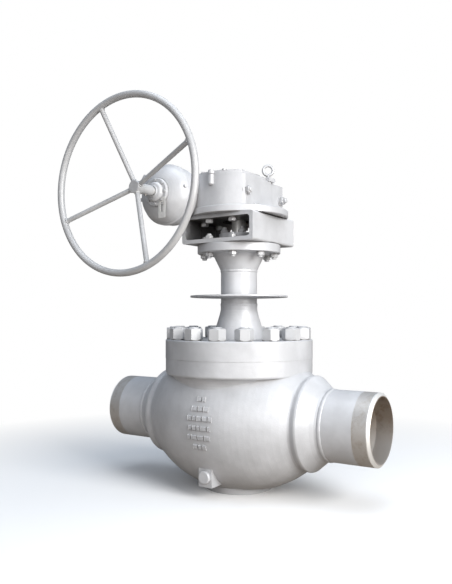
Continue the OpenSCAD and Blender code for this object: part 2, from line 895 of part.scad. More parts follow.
// One wheel tooth, leaning with the worm's lead
module wheel_tooth() {
    half = 0.21 * worm_lead;
    lean = worm_module * tan(20);
    rotate([lead_angle, 0, 0])
        translate([0, 0, -wheel_t / 2])
            linear_extrude(wheel_t)
                polygon([[wheel_root_r - 6, -half - 1.3 * lean], [wheel_root_r, -half - 1.15 * lean],
                         [wheel_pitch_r, -half], [wheel_tip_r, -half + 1.05 * lean],
                         [wheel_tip_r, half - 1.05 * lean], [wheel_pitch_r, half],
                         [wheel_root_r, half + 1.15 * lean], [wheel_root_r - 6, half + 1.3 * lean]]);
}

module worm_wheel() {
    pitch_angle = 360 / wheel_teeth;
    reach = floor((quadrant_half - pitch_angle / 2) / pitch_angle);
    color(bronze)
        difference() {
            union() {
                translate([0, 0, floor_z - 4]) cylinder(r = wheel_hub_r, h = case_top_z - 18.5 - floor_z + 4);
                translate([0, 0, gear_low_z + 3.5])
                    cylinder(r = wheel_journal_r, h = case_top_z - gear_low_z - 5);
                translate([0, 0, worm_z - wheel_t / 2])
                    linear_extrude(wheel_t) sector(wheel_root_r, quadrant_mid, quadrant_half);
                // the tooth row is centred on the worm in every position that is a whole pitch away
                translate([0, 0, worm_z])
                    for (i = [-reach:reach])
                        rotate([0, 0, quadrant_mid + i * pitch_angle]) wheel_tooth();
            }
            translate([0, 0, gear_low_z]) cylinder(r = stem_r, h = 200);
            translate([0, -key_w / 2, key_low_z]) cube([stem_r + 4.5, key_w, key_h]);
        }
}

// Pie slice of radius r, about direction mid
module sector(r, mid, half) {
    steps = 16;
    intersection() {
        circle(r = r);
        polygon(concat([[0, 0]], [for (i = [-steps:steps])
            let (a = mid + i * half / steps) 1.5 * r * [cos(a), sin(a)]]));
    }
}

module stem_key() {
    color(bright_steel)
        translate([key_seat_x, -key_w / 2, key_low_z]) cube([stem_r + 4.5 - key_seat_x, key_w, key_h]);
}

module position_indicator() {
    color(polymer)
        difference() {
            translate([0, 0, cover_top_z + 2])
                rotate_extrude()
                    polygon([[0, 0], [94, 0], [97, 2], [97, 7], [94, 9], [46, 9], [42, 16], [0, 16]]);
            // arrow-shaped notch that shows where the bore points
            translate([0, 0, cover_top_z + 8])
                linear_extrude(10) polygon([[60, -9], [90, 0], [60, 9]]);
        }
}

// ---- worm shaft and planetary stage, drawn along +Z and turned onto -Y ----

// Cross-section of a single-start worm: the radius follows the thread round one turn.
// The start angle puts a thread gap against the wheel tooth that lies on the centre line.
function worm_radius(share) =
    let (half_tip = 0.42 * 0.5 - worm_module * tan(20) / worm_lead,
         half_root = half_tip + (worm_tip_r - worm_root_r) * tan(20) / worm_lead,
         d = abs(share - 0.5))
    d < half_tip ? worm_tip_r
    : d > half_root ? worm_root_r
    : worm_tip_r - (worm_tip_r - worm_root_r) * (d - half_tip) / (half_root - half_tip);

module worm() {
    points = 30;
    turns = 2 * worm_half / worm_lead;
    color(dark_steel)
        on_worm_axis()
            difference() {
                translate([0, 0, -worm_half])
                    rotate([0, 0, 360 * worm_half / worm_lead])
                        linear_extrude(2 * worm_half, twist = 360 * turns, slices = 100, $fn = points)
                            polygon([for (i = [0:points - 1])
                                let (a = 360 * i / points) worm_radius(i / points) * [cos(a), sin(a)]]);
                translate([0, 0, -worm_half - 1]) cylinder(r = worm_shaft_r, h = 2 * worm_half + 2);
            }
}

module worm_shaft() {
    color(bright_steel)
        on_worm_axis() {
            translate([0, 0, -118]) cylinder(r = worm_shaft_r, h = 118 + carrier_y);
            translate([0, 0, worm_half]) cylinder(r = 32, h = 94 - worm_half);
            translate([0, 0, -94]) cylinder(r = 32, h = 94 - worm_half);
        }
}

// Two bearings of the worm shaft and one of the input shaft
module shaft_bearings() {
    color(bright_steel)
        on_worm_axis() {
            washer(26, shaft_r + run_fit, dome_end_y - 22, dome_end_y - 6);
            washer(worm_chamber_r, worm_shaft_r + run_fit, 95, 118);
            washer(worm_chamber_r, worm_shaft_r + run_fit, -118, -95);
        }
}

module worm_end_cap() {
    color(paint)
        on_worm_axis()
            difference() {
                translate([0, 0, -worm_back_y - 12])
                    rotate_extrude()
                        polygon([[0, 0], [worm_case_r - 3, 0], [worm_case_r, 3], [worm_case_r, 12],
                                 [worm_chamber_r, 12], [worm_chamber_r, 43], [worm_chamber_r - 12, 43],
                                 [worm_chamber_r - 12, 12], [0, 12]]);
                ring_of(4, end_screw_pcr, 45)
                    translate([0, 0, -worm_back_y - 20]) cylinder(r = end_screw_r + 0.5, h = 30);
            }
}

module reducer_housing() {
    lip_r = reducer_r + 4;
    color(paint)
        on_worm_axis() {
            rotate_extrude()
                polygon([[worm_shaft_r + 1, case_end_y], [reducer_r - 6, case_end_y],
                         [reducer_r, case_end_y + 6], [reducer_r, reducer_seam_y - 12],
                         [lip_r, reducer_seam_y - 10],
                         [lip_r, reducer_seam_y], [ring_outer_r, reducer_seam_y],
                         [ring_outer_r, case_end_y + 14], [worm_shaft_r + 1, case_end_y + 14]]);
            // lug and bolt lobes at the seam
            rotate([0, 0, lug_angle])
                translate([reducer_r - 4, -lug_w / 2, reducer_seam_y - 10])
                    cube([lug_end_r - reducer_r + 4, lug_w, 10]);
            seam_lobes(reducer_seam_y - 10, reducer_seam_y);
        }
}

// Lobes that carry the seam bolts, from the low end to the high end along the worm axis
module seam_lobes(low, high) {
    for (a = seam_bolt_angles)
        rotate([0, 0, a])
            translate([seam_bolt_pcr - 1, 0, low]) cylinder(r = 9.5, h = high - low);
}

// Radius of the dome at distance y in front of the seam
function dome_at(y, reach, r) = r * sqrt(1 - pow(y / reach, 2));

module reducer_cover() {
    steps = 12;
    wall = 9;
    lip_t = 6;
    last = dome_end_y - reducer_seam_y;
    inner_reach = dome_reach - wall;
    inner_last = last - wall;
    outside = [for (i = [0:steps]) let (y = last * i / steps)
        [dome_at(y, dome_reach, reducer_r), reducer_seam_y + y]];
    inside = [for (i = [steps:-1:0]) let (y = inner_last * i / steps)
        [dome_at(y, inner_reach, reducer_r - wall), reducer_seam_y + y]];
    color(paint)
        on_worm_axis() {
            difference() {
                rotate_extrude()
                    polygon(concat(
                        [[reducer_r + 4, reducer_seam_y], [reducer_r + 4, reducer_seam_y + lip_t]],
                        [for (p = outside) if (p[1] > reducer_seam_y + lip_t) p],
                        [[30, dome_end_y], [30, dome_end_y - wall]],
                        inside));
                ring_of(8, cap_screw_pcr)
                    translate([0, 0, dome_end_y - 20]) cylinder(r = cap_screw_r, h = 40);
            }
            // other half of the lug, and of the bolt lobes
            rotate([0, 0, lug_angle])
                translate([reducer_r + 2, -lug_w / 2, reducer_seam_y])
                    cube([lug_end_r - reducer_r - 2, lug_w, lip_t]);
            seam_lobes(reducer_seam_y, reducer_seam_y + lobe_t);
            // vent plug
            rotate([0, 0, vent_angle])
                translate([dome_at(24, dome_reach, reducer_r) - 4, 0, reducer_seam_y + 24])
                    rotate([0, 66, 0]) hexagon(13, 12);
        }
}

module input_cap() {
    face_y = dome_end_y + cap_t;
    boss = [for (i = [0:6]) let (t = i / 6)
        [boss_r + (boss_root_r - boss_r) * sqrt(1 - t * t), face_y + (boss_end_y - 3 - face_y) * t]];
    color(paint)
        on_worm_axis()
            difference() {
                rotate_extrude()
                    polygon(concat(
                        [[shaft_r + 1, dome_end_y - 24], [30, dome_end_y - 24], [30, dome_end_y],
                         [cap_r, dome_end_y], [cap_r, face_y - 3], [cap_r - 3, face_y]],
                        boss,
                        [[boss_r - 3, boss_end_y], [shaft_r + 1, boss_end_y]]));
                translate([0, 0, dome_end_y - 25]) cylinder(r = 26, h = 21);
                ring_of(8, cap_screw_pcr)
                    translate([0, 0, dome_end_y - 1]) cylinder(r = cap_screw_r + 0.5, h = 40);
            }
}

// Cap screws, and the bolts through the seam lobes
module reducer_screws() {
    color(bright_steel)
        on_worm_axis() {
            for (a = [0:45:315])
                rotate([0, 0, a])
                    translate([cap_screw_pcr, 0, dome_end_y + cap_t + (a == 360 + tag_angle ? tag_t : 0)])
                        hex_screw(cap_screw_r, 11, 4.5, 20);
            for (a = seam_bolt_angles)
                rotate([0, 0, a])
                    translate([seam_bolt_pcr + 1, 0, reducer_seam_y + lobe_t]) hexagon(10, 6);
        }
}

// Plain metal tag with a slot, held under one cap screw
module blank_tag() {
    w = 34;
    h = 84;
    slot_w = 11;
    screw_x = cap_screw_pcr * cos(tag_angle);
    screw_z = cap_screw_pcr * sin(tag_angle);
    left_x = screw_x - w / 2 + 2;
    low_z = screw_z - h + 10;
    color("#eeeeec")
        on_worm_axis()
            translate([0, 0, dome_end_y + cap_t])
                linear_extrude(tag_t)
                    difference() {
                        translate([left_x, low_z]) square([w, h]);
                        circle(r = boss_root_r + 1);
                        translate([screw_x, screw_z]) circle(r = cap_screw_r + 0.5);
                        translate([left_x + w / 2 - slot_w / 2, low_z + 24]) square([slot_w, 38]);
                    }
}

module ring_gear() {
    color(dark_steel)
        on_worm_axis()
            translate([0, 0, gear_low_y - 1])
                linear_extrude(gear_high_y - gear_low_y + 2)
                    difference() {
                        circle(r = ring_outer_r);
                        rotate([0, 0, 180 / ring_teeth]) ring_space();
                    }
}

// Space inside the ring gear: an external gear outline with deeper, wider teeth
module ring_space() {
    m = planet_module;
    pitch_r = m * ring_teeth / 2;
    tip_r = pitch_r - 0.9 * m;
    root_r = pitch_r + 1.15 * m;
    half = 0.58 * 180 / ring_teeth;
    spread = atan(m * tan(20) / pitch_r);
    polygon([
        for (i = [0:ring_teeth - 1])
            for (p = [[tip_r, -half - spread * 0.9], [pitch_r, -half], [root_r, -half + spread * 1.1],
                      [root_r, half - spread * 1.1], [pitch_r, half], [tip_r, half + spread * 0.9]])
                let (a = i * 360 / ring_teeth + p[1])
                    [p[0] * cos(a), p[0] * sin(a)]
    ]);
}

module planet_carrier() {
    color(dark_steel)
        on_worm_axis() {
            translate([0, 0, carrier_y]) cylinder(r = 78, h = carrier_t);
            for (a = [0:120:240])
                rotate([0, 0, a])
                    translate([planet_orbit_r, 0, carrier_y])
                        cylinder(r = pin_r, h = gear_high_y + 3 - carrier_y);
        }
}

// Planet gears sit with a tooth gap towards the ring's teeth and the sun's teeth
module planet_gear(i) {
    a = 120 * i;
    color(bronze)
        on_worm_axis()
            rotate([0, 0, a])
                translate([planet_orbit_r, 0, gear_low_y])
                    difference() {
                        rotate([0, 0, 180 / planet_teeth])
                            linear_extrude(gear_high_y - gear_low_y) gear_outline(planet_teeth, planet_module);
                        translate([0, 0, -1]) cylinder(r = pin_r + run_fit, h = 60);
                    }
}

module input_shaft() {
    color(bright_steel)
        on_worm_axis() {
            translate([0, 0, gear_low_y - 2]) cylinder(r = shaft_r, h = hub_front_y - 12 - gear_low_y + 2);
            translate([0, 0, gear_low_y])
                linear_extrude(gear_high_y - gear_low_y) gear_outline(planet_teeth, planet_module);
        }
}

// ---- handwheel ----

module handwheel_rim() {
    color(paint)
        on_worm_axis()
            translate([0, 0, rim_y])
                rotate_extrude() translate([rim_r, 0]) circle(r = rim_tube_r, $fn = 48);
}

module handwheel_spokes() {
    low_r = 18;
    low_y = 428;
    rise = atan2(rim_y - low_y, rim_r - low_r);
    run = norm([rim_y - low_y, rim_r - low_r]);
    color(paint)
        on_worm_axis()
            difference() {
                for (i = [0:3])
                    rotate([0, 0, spoke_turn + 90 * i])
                        translate([low_r, 0, low_y])
                            rotate([0, 90 - rise, 0]) cylinder(r = spoke_r, h = run - 2);
                translate([0, 0, sleeve_end_y]) cylinder(r = hub_r, h = 200);
                translate([0, 0, rim_y])
                    rotate_extrude() translate([rim_r, 0]) circle(r = rim_tube_r, $fn = 48);
            }
}

module handwheel_hub() {
    color(paint)
        on_worm_axis()
            difference() {
                rotate_extrude()
                    polygon([[0, sleeve_end_y], [sleeve_r, sleeve_end_y], [sleeve_r, 398], [hub_r, 404],
                             [hub_r, hub_front_y - 1.5], [hub_r - 1.5, hub_front_y], [0, hub_front_y]]);
                translate([0, 0, sleeve_end_y - 1])
                    cylinder(r = shaft_r, h = hub_front_y - 12 - sleeve_end_y + 1);
                translate([0, 0, 372]) rotate([90, 0, 0]) cylinder(r = 4, h = 60);
            }
}

module hub_set_screw() {
    color(dark_steel)
        on_worm_axis()
            translate([0, 0, 372])
                rotate([90, 0, 0])
                    difference() {
                        translate([0, 0, shaft_r]) cylinder(r = 4, h = sleeve_r - shaft_r + 3);
                        translate([0, 0, sleeve_r]) cylinder(r = 2, h = 10, $fn = 6);
                    }
}

valve_body();
inlet_pup();
outlet_pup();
pup_welds();
drain_plug();
seat_rings();
seat_inserts();
seat_springs();
seat_seals();
trunnion_bushes();
thrust_washer();
ball();
stem();
bonnet_gasket();
bonnet();
bonnet_studs();
bonnet_nuts();
extension_tube();
drip_plate();
stem_guide_bush();
top_flange();
packing_rings();
gland_bush();
gland_flange();
gland_studs();
gland_nuts();
yoke_plates();
yoke_sides();
yoke_studs();
yoke_nuts();
gearbox_bolts();
gearbox_housing();
gearbox_cover();
gearbox_screws();
eye_bolt();
stop_bolts();
stop_nuts();
quadrant_bushes();
worm_wheel();
stem_key();
position_indicator();
worm();
worm_shaft();
shaft_bearings();
worm_end_cap();
reducer_housing();
reducer_cover();
input_cap();
reducer_screws();
blank_tag();
ring_gear();
planet_carrier();
planet_gear(0);  // planet_gear_1
planet_gear(1);  // planet_gear_2
planet_gear(2);  // planet_gear_3
input_shaft();
handwheel_rim();
handwheel_spokes();
handwheel_hub();
hub_set_screw();
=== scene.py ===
"""Visual model of a top-entry valve with a worm gear operator, built round its CAD frame."""
import json
import math
import random

import bpy
from mathutils import Matrix, Vector, noise

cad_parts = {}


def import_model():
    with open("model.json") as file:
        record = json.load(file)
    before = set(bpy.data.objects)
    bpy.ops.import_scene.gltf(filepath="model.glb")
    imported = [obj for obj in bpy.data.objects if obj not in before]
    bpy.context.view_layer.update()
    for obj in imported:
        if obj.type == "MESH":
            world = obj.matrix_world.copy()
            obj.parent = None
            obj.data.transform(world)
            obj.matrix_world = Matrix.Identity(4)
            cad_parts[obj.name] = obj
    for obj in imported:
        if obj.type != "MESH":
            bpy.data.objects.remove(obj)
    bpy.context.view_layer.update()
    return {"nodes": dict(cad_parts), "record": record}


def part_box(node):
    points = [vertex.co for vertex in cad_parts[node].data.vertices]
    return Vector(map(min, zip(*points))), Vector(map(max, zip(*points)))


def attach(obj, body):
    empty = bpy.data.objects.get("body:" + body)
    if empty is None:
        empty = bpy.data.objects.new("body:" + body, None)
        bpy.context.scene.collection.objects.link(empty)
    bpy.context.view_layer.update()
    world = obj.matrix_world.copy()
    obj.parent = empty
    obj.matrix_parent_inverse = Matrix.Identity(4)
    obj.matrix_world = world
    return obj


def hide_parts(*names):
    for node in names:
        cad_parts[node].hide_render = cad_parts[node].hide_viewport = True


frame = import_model()
random.seed(11)

VALVE = "valve"
HANDWHEEL = "handwheel"

# Camera: where it stands, and how far its view turns left of +Y and up from level
CAMERA_AT = (1.4205, -2.2537, 0.4156)
CAMERA_AZIMUTH = 33.4
CAMERA_PITCH = 2.23
CAMERA_LENS = 38.9
FLOOR_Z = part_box("valve_body")[0].z

# Pipe ends: where the paint stops, where the weld bevel starts, and the inside radius
PIPE_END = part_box("outlet_pup")[1].x
BARE_X = PIPE_END - 0.0635
CUT_X = PIPE_END - 0.0095
BORE_R = 0.1215

# Handwheel spokes, as in the CAD
SPOKE_TURN = math.radians(21)
SPOKE_R = 0.0095
SPOKE_ROOT_R = 0.018
SPOKE_SETBACK = 0.014

# Rows of cast marks on the body: their middle, the highest row, the step between rows, and their widths
MARK_X = 0.010
MARK_TOP_Z = 0.100
MARK_PITCH = 0.036
MARK_WIDTHS = (0.035, 0.072, 0.108, 0.096, 0.108, 0.065)

# Each mark's thickness above the surface and below it, half its height, its length, the gap to the next one,
# and the end of a row that is too short for another
MARK_PROUD = 0.0048
MARK_SINK = 0.0015
MARK_HALF_HEIGHT = 0.009
MARK_SHORTEST = 0.012
MARK_LONGEST = 0.026
MARK_GAP = 0.005
MARK_LEFT_OVER = 0.006

# Rings of studs: how many, the circle's radius, the first one's turn from +X, and a stud's radius
BONNET_STUDS = (16, 0.270, math.radians(14), 0.021)
YOKE_STUDS = (8, 0.149, math.radians(22.5), 0.010)
BONNET_THREAD_PITCH = 0.0022
YOKE_THREAD_PITCH = 0.0018
STUD_CHAMFER = 0.15  # of the radius
THREAD_DEPTH = 0.0002
THREAD_PROUD = 0.0005

# Plugs on the flat side of the gear case, as (y, z), and their outline as (r, z) from foot to top
PAD_PLUGS = ((-0.092, 0.865), (-0.050, 0.865))
PLUG_OUTLINE = [(0.010, -0.001), (0.010, 0.002), (0.0075, 0.0028), (0.0075, 0.0075), (0.0062, 0.0088),
                (0.003, 0.0092)]

# Weld beads: (width, height) on the pups, on the extension tube and on the spokes
PUP_BEAD = (0.016, 0.0032)
TUBE_BEAD = (0.013, 0.0022)
SPOKE_BEAD = (0.007, 0.0028)

# Paint colours, and the colours of the shade painted into corners and gaps
SILVER = (0.60, 0.61, 0.635)
LIGHT_SILVER = (0.63, 0.64, 0.665)
WHEEL_SILVER = (0.53, 0.537, 0.55)
FASTENER_SILVER = (0.60, 0.61, 0.63)
CORNER_SHADE = (0.17, 0.155, 0.14)
# near-black painted shade, for inside the yoke's box
DEEP_SHADE = (0.03, 0.028, 0.028)
METAL_CORNER_SHADE = (0.09, 0.08, 0.07, 1.0)

# Bare steel at the pipe ends: outside, on the freshly cut bevel, and in the bore, above and below
STEEL_DULL = (0.60, 0.58, 0.56, 1.0)
STEEL_RUSTY = (0.50, 0.46, 0.42, 1.0)
STEEL_CUT = (0.86, 0.86, 0.85, 1.0)
BORE_TOP = (0.34, 0.28, 0.23, 1.0)
BORE_TOP_RUST = (0.24, 0.17, 0.12, 1.0)
BORE_LOW = (0.50, 0.48, 0.46, 1.0)

# Area lights: name, place, size, power and colour
LIGHTS_AIM = (0.0, 0.0, 0.4)
LIGHTS = (
    ("key", (4.7, -1.3, 2.0), (2.8, 2.8), 360, (1.0, 0.985, 0.96)),
    ("front", (1.6, -4.6, 1.2), (3.6, 2.8), 72, (1.0, 0.99, 0.985)),
    ("top", (0.2, -0.4, 4.6), (3.4, 3.4), 75, (0.86, 0.92, 1.0)),
)
WORLD_LOW = (0.36, 0.34, 0.33, 1.0)
WORLD_HIGH = (0.72, 0.84, 1.0, 1.0)
WORLD_STRENGTH = 0.37
WHITE = (1.0, 1.0, 1.0, 1.0)

# Floor: its radius, and the distances from the middle where it starts to fade and has faded to white
FLOOR_R = 60.0
FLOOR_SIDES = 64
FADE_START = 0.9
FADE_END = 2.2
FLOOR_TONES = ((0.94, 0.94, 0.94, 1.0), (0.96, 0.96, 0.96, 1.0))
FLOOR_BOUNCE = (0.30, 0.26, 0.22, 1.0)


# ---- node helpers ----

def shader(name):
    """A new material with its node tree emptied, and its tree."""
    mat = bpy.data.materials.new(name)
    mat.use_nodes = True
    mat.node_tree.nodes.clear()
    return mat, mat.node_tree


def node(tree, kind, inputs=None, **props):
    """Adds a node; inputs maps a socket's name or number to a value or to another node's output."""
    n = tree.nodes.new(kind)
    for key, value in props.items():
        setattr(n, key, value)
    for key, value in (inputs or {}).items():
        if isinstance(value, bpy.types.NodeSocket):
            tree.links.new(value, n.inputs[key])
        else:
            n.inputs[key].default_value = value
    return n


def noise_value(tree, where, scale, detail=3.0, rough=0.55):
    """Grey noise at that scale, per metre."""
    inputs = {"Vector": where, "Scale": scale, "Detail": detail, "Roughness": rough}
    return node(tree, "ShaderNodeTexNoise", inputs).outputs["Fac"]


def remap(tree, value, low, high, to_low=0.0, to_high=1.0):
    """The value stretched from one range to another, and held within it."""
    n = node(tree, "ShaderNodeMapRange", {"Value": value, "From Min": low, "From Max": high,
                                          "To Min": to_low, "To Max": to_high})
    return n.outputs["Result"]


def rgba(colour, scale=1.0):
    """The colour, scaled, with an alpha of 1."""
    return [c * scale for c in colour] + [1.0]


def mix_colour(tree, factor, a, b):
    """Colour a where factor is 0, and b where it is 1."""
    n = node(tree, "ShaderNodeMix", data_type="RGBA")
    for key, value in (("Factor", factor), ("A", a), ("B", b)):
        kind = "VALUE" if key == "Factor" else "RGBA"
        socket = next(s for s in n.inputs if s.name == key and s.type == kind)
        if isinstance(value, bpy.types.NodeSocket):
            tree.links.new(value, socket)
        else:
            socket.default_value = value
    return next(s for s in n.outputs if s.type == "RGBA")


def maths(tree, operation, a, b=0.0):
    """The result of a maths node."""
    n = node(tree, "ShaderNodeMath", {0: a, 1: b}, operation=operation)
    return n.outputs[0]


def finish_surface(tree, colour, roughness, metallic, height, bump, edge):
    """Principled surface with a bumped height, and softened edges where edge isn't 0."""
    bumped = node(tree, "ShaderNodeBump", {"Strength": bump, "Distance": 0.001, "Height": height})
    if edge:
        rounded = node(tree, "ShaderNodeBevel", {"Radius": edge}, samples=6)
        tree.links.new(rounded.outputs[0], bumped.inputs["Normal"])
    body = node(tree, "ShaderNodeBsdfPrincipled", {"Base Color": colour, "Roughness": roughness,
                                                   "Metallic": metallic, "Normal": bumped.outputs[0]})
    node(tree, "ShaderNodeOutputMaterial", {"Surface": body.outputs[0]})
    return body


def crevice(tree, reach, low, high):
    """0 in the open, 1 in corners and gaps, where shade is painted."""
    ao = node(tree, "ShaderNodeAmbientOcclusion", {"Distance": reach}, samples=4)
    return remap(tree, ao.outputs["AO"], high, low)


def mottled(tree, where, scale, colour, darker):
    """The colour with soft clouds in which it is slightly darker."""
    clouds = remap(tree, noise_value(tree, where, scale, 4.0), 0.38, 0.66)
    return mix_colour(tree, clouds, rgba(colour, darker), rgba(colour))


def paint(name, colour, grain, bump, roughness, edge=0.0015, shade_strength=0.5, reach=0.03, shade_colour=CORNER_SHADE):
    """Silver-grey paint: fine texture, faint mottling, and painted shade in the corners."""
    mat, tree = shader(name)
    where = node(tree, "ShaderNodeTexCoord").outputs["Object"]
    fine = noise_value(tree, where, 90.0, 3.0)
    tinted = mottled(tree, where, 9.0, colour, 0.86)
    # painted shade: the colour is darker where ambient occlusion finds corners and gaps
    painted_shade = maths(tree, "MULTIPLY", crevice(tree, reach, 0.25, 0.85), shade_strength)
    shaded_colour = mix_colour(tree, painted_shade, tinted, rgba(shade_colour))
    rough = remap(tree, fine, 0.3, 0.7, roughness - 0.06, roughness + 0.08)
    height = maths(tree, "ADD", noise_value(tree, where, grain, 4.0, 0.6),
                   maths(tree, "MULTIPLY", noise_value(tree, where, grain * 0.18, 2.0), 1.5))
    body = finish_surface(tree, shaded_colour, rough, 0.15, height, bump, edge)
    body.inputs["Coat Weight"].default_value = 0.12
    body.inputs["Coat Roughness"].default_value = 0.3
    return mat


def pipe_paint(name, colour):
    """Paint that stops short of the pipe ends, where the steel is bare with a little rust."""
    mat, tree = shader(name)
    where = node(tree, "ShaderNodeTexCoord").outputs["Object"]
    split = node(tree, "ShaderNodeSeparateXYZ", {"Vector": where})
    wobble = maths(tree, "MULTIPLY", noise_value(tree, where, 14.0, 2.0), 0.006)
    reach = maths(tree, "ADD", maths(tree, "ABSOLUTE", split.outputs["X"]), wobble)
    bare = remap(tree, reach, BARE_X - 0.001, BARE_X + 0.001)
    painted = mottled(tree, where, 11.0, colour, 0.87)
    rust = remap(tree, noise_value(tree, where, 26.0, 6.0, 0.7), 0.5, 0.68)
    dull = mix_colour(tree, rust, STEEL_DULL, STEEL_RUSTY)
    # the weld bevel is freshly cut
    cut = remap(tree, reach, CUT_X - 0.0005, CUT_X + 0.0005)
    steel = mix_colour(tree, cut, dull, STEEL_CUT)
    outer = mix_colour(tree, bare, painted, steel)
    # the inside of the pipe is bare too, and paler below, where light falls on it
    across = node(tree, "ShaderNodeVectorMath", {0: where, 1: (0.0, 1.0, 1.0)}, operation="MULTIPLY")
    radius = node(tree, "ShaderNodeVectorMath", {0: across.outputs[0]}, operation="LENGTH")
    inside = remap(tree, radius.outputs["Value"], BORE_R + 0.0045, BORE_R + 0.0025)
    brown = mix_colour(tree, rust, BORE_TOP, BORE_TOP_RUST)
    bore_tint = mix_colour(tree, remap(tree, split.outputs["Z"], -0.07, 0.03), BORE_LOW, brown)
    colour_out = mix_colour(tree, inside, outer, bore_tint)
    rough = remap(tree, bare, 0.0, 1.0, 0.42, 0.5)
    metal = remap(tree, bare, 0.0, 1.0, 0.12, 0.7)
    height = noise_value(tree, where, 240.0, 4.0)
    finish_surface(tree, colour_out, rough, metal, height, 0.12, 0.001)
    return mat


def plain_metal(name, colour, roughness, metallic=0.9, tarnish=(0.30, 0.26, 0.22)):
    """Bare or plated steel with faint tarnish, and painted shade in its corners."""
    mat, tree = shader(name)
    where = node(tree, "ShaderNodeTexCoord").outputs["Object"]
    cloud = remap(tree, noise_value(tree, where, 35.0, 5.0, 0.65), 0.5, 0.75, 0.0, 0.6)
    tinted = mix_colour(tree, cloud, rgba(colour), rgba(tarnish))
    # painted shade: the colour is darker in corners, from ambient occlusion
    painted_shade = maths(tree, "MULTIPLY", crevice(tree, 0.012, 0.3, 0.9), 0.6)
    shaded_colour = mix_colour(tree, painted_shade, tinted, METAL_CORNER_SHADE)
    rough = remap(tree, noise_value(tree, where, 60.0, 3.0), 0.3, 0.7, roughness - 0.07, roughness + 0.1)
    finish_surface(tree, shaded_colour, rough, metallic, noise_value(tree, where, 300.0, 3.0), 0.1, 0.0008)
    return mat


def soft_black(name, colour, roughness):
    """Polymer or graphite."""
    mat, tree = shader(name)
    where = node(tree, "ShaderNodeTexCoord").outputs["Object"]
    cloud = noise_value(tree, where, 50.0, 4.0)
    tinted = mix_colour(tree, cloud, rgba(colour), rgba(colour, 1.5))
    finish_surface(tree, tinted, roughness, 0.0, noise_value(tree, where, 500.0, 2.0), 0.1, 0.0008)
    return mat


# One look for each material slot, and one more for the yoke's box, with painted shade that makes it near
# black inside
LOOKS = {
    "cast_paint": paint("cast_paint", SILVER, 210.0, 0.42, 0.42),
    "tube_paint": paint("tube_paint", LIGHT_SILVER, 420.0, 0.12, 0.38),
    "wheel_paint": paint("wheel_paint", WHEEL_SILVER, 60.0, 0.02, 0.42, edge=0, shade_strength=0.0),
    # painted shade: the yoke's box is painted near black inside, far into its corners
    "shaded_yoke_paint": paint("shaded_yoke_paint", LIGHT_SILVER, 420.0, 0.1, 0.38, shade_strength=1.0, reach=0.22,
                        shade_colour=DEEP_SHADE),
    "fastener_paint": paint("fastener_paint", FASTENER_SILVER, 380.0, 0.1, 0.4, edge=0.001, shade_strength=0.9),
    "bright_steel": plain_metal("bright_steel", (0.80, 0.80, 0.79), 0.42, metallic=0.45,
                                tarnish=(0.55, 0.53, 0.50)),
    "gear_steel": plain_metal("gear_steel", (0.36, 0.34, 0.32), 0.35),
    "bronze": plain_metal("bronze", (0.62, 0.42, 0.20), 0.35, tarnish=(0.35, 0.22, 0.10)),
    "dark_polymer": soft_black("dark_polymer", (0.028, 0.028, 0.03), 0.5),
    "graphite": soft_black("graphite", (0.04, 0.04, 0.042), 0.62),
}
PIPE_LOOK = pipe_paint("pipe_paint", LIGHT_SILVER)


def dress_frame():
    """Gives every CAD node its look."""
    for entry in frame["record"]["subparts"]:
        obj = frame["nodes"][entry["node"]]
        look = LOOKS[entry["material_slot"]]
        if entry["node"].endswith("_pup"):
            look = PIPE_LOOK
        if entry["node"].startswith("yoke_") and entry["material_slot"] == "tube_paint":
            look = LOOKS["shaded_yoke_paint"]
        obj.data.materials.clear()
        obj.data.materials.append(look)


# ---- shapes ----

def mesh_object(name, verts, faces, look, body, smooth=True):
    """A new piece that rides on a body and takes a slot's finish."""
    mesh = bpy.data.meshes.new(name)
    mesh.from_pydata([tuple(v) for v in verts], [], faces)
    mesh.validate()
    mesh.update()
    for p in mesh.polygons:
        p.use_smooth = smooth
    obj = bpy.data.objects.new(name, mesh)
    bpy.context.scene.collection.objects.link(obj)
    mesh.materials.append(look)
    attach(obj, body)
    return obj


def ring_mesh(profile_at, steps, rows, place):
    """Verts and faces of a closed ring; profile_at(angle) gives its rows of (r, z) points."""
    verts = []
    for i in range(steps):
        a = 2 * math.pi * i / steps
        for r, z in profile_at(a):
            verts.append(place @ Vector((r * math.cos(a), r * math.sin(a), z)))
    faces = []
    for i in range(steps):
        j = (i + 1) % steps
        for k in range(rows):
            m = (k + 1) % rows
            faces.append((i * rows + k, j * rows + k, j * rows + m, i * rows + m))
    return verts, faces


ALONG_X = Matrix.Rotation(math.pi / 2, 4, "Y")


def weld_bead(name, at, radius, width, height, turn=Matrix.Identity(4), look="tube_paint", body=VALVE,
              coarse=0.006, steps=420):
    """A weld bead round a tube, with the ripples of its passes."""
    place = Matrix.Translation(at) @ turn
    passes = max(24, int(2 * math.pi * radius / coarse))

    def rows(a):
        ripple = 0.5 + 0.5 * math.cos(a * passes)
        waver = noise.noise(Vector((math.cos(a) * 9, math.sin(a) * 9, radius * 40)))
        h = height * (0.82 + 0.18 * ripple + 0.22 * waver)
        w = width * (0.5 + 0.05 * waver)
        lean = width * 0.06 * math.sin(a * passes)
        out = [(radius - 0.002, -w * 0.8), (radius + 0.0002, -w)]
        for k in range(1, 6):
            t = math.pi * k / 6
            out.append((radius + h * math.sin(t), -w * math.cos(t) + lean * math.sin(t)))
        out += [(radius + 0.0002, w), (radius - 0.002, w * 0.8)]
        return out

    verts, faces = ring_mesh(rows, steps, 9, place)
    return mesh_object(name, verts, faces, LOOKS[look], body)


